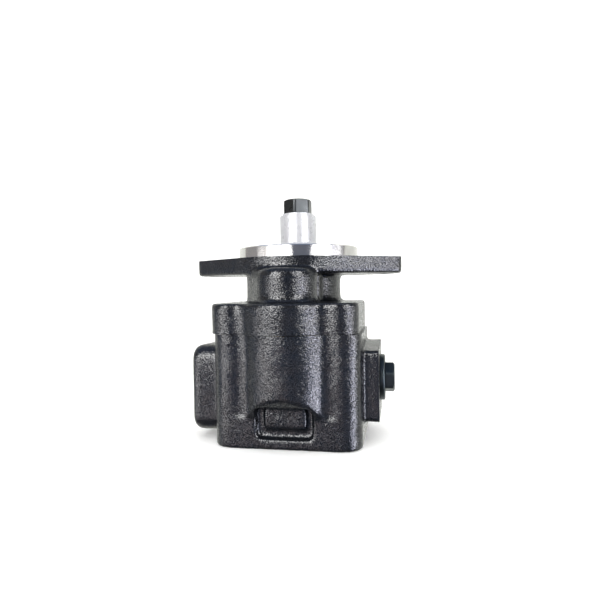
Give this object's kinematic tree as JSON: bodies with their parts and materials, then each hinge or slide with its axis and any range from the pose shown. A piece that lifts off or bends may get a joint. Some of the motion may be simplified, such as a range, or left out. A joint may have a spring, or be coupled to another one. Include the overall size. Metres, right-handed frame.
{
  "type": "hydraulic gear pump",
  "caption": "External gear pump in two black painted castings, with a two-bolt flange, round pilot, side ports, a plugged outlet and a bright hub on the drive shaft.",
  "frame": {"origin": "centre of the pilot on the flange's mounting face", "axes": "+Z along the drive shaft out of its driven end, X through the two flange holes, driven gear towards -Y, inlet on -X"},
  "size_m": [0.1744, 0.1457, 0.195],
  "materials": {
    "cast_paint": "gloss black paint over sand-cast iron, bare turned metal on the pilot",
    "ground_steel": "ground steel",
    "bronze": "machined bronze",
    "seal_rubber": "matt black rubber",
    "black_steel": "black oxide steel",
    "bearing_steel": "polished bearing steel",
    "bright_hub": "bright turned metal"
  },
  "bodies": {
    "pump_body": {"front_cover": "cast_paint", "gear_housing": "cast_paint", "front_drive_bushing": "bronze", "front_driven_bushing": "bronze", "rear_drive_bushing": "bronze", "rear_driven_bushing": "bronze", "front_thrust_plate": "bronze", "rear_thrust_plate": "bronze", "front_plate_seal": "seal_rubber", "rear_plate_seal": "seal_rubber", "body_seal": "seal_rubber", "dowel_pins": "ground_steel", "cover_screws": "black_steel", "bearing_outer_ring": "bearing_steel", "shaft_seal": "seal_rubber", "seal_case": "black_steel", "garter_spring": "bearing_steel", "retaining_ring": "black_steel", "port_plug": "black_steel", "plug_seal": "seal_rubber"},
    "drive_train": {"drive_shaft": "ground_steel", "bearing_inner_ring": "bearing_steel", "drive_hub": "bright_hub", "hub_key": "ground_steel", "hub_washer": "bright_hub", "hub_bolt": "black_steel"},
    "driven_train": {"driven_gear": "ground_steel"},
    "ball_train": {"bearing_balls": "bearing_steel", "bearing_cage": "bronze"}
  },
  "joints": [
    {"name": "drive_spin", "type": "hinge", "parent": "pump_body", "child": "drive_train", "pos_m": [0, 0, -0.08], "axis": [0, 0, 1], "continuous": true},
    {"name": "driven_spin", "type": "hinge", "parent": "pump_body", "child": "driven_train", "pos_m": [0, -0.0508, -0.08], "axis": [0, 0, 1], "continuous": true},
    {"name": "ball_orbit", "type": "hinge", "parent": "pump_body", "child": "ball_train", "pos_m": [0, 0, -0.0125], "axis": [0, 0, 1], "continuous": true}
  ],
  "couplings": [
    {"joint": "driven_spin", "follows": "drive_spin", "ratio": -1},
    {"joint": "ball_orbit", "follows": "drive_spin", "ratio": 0.3969}
  ]
}
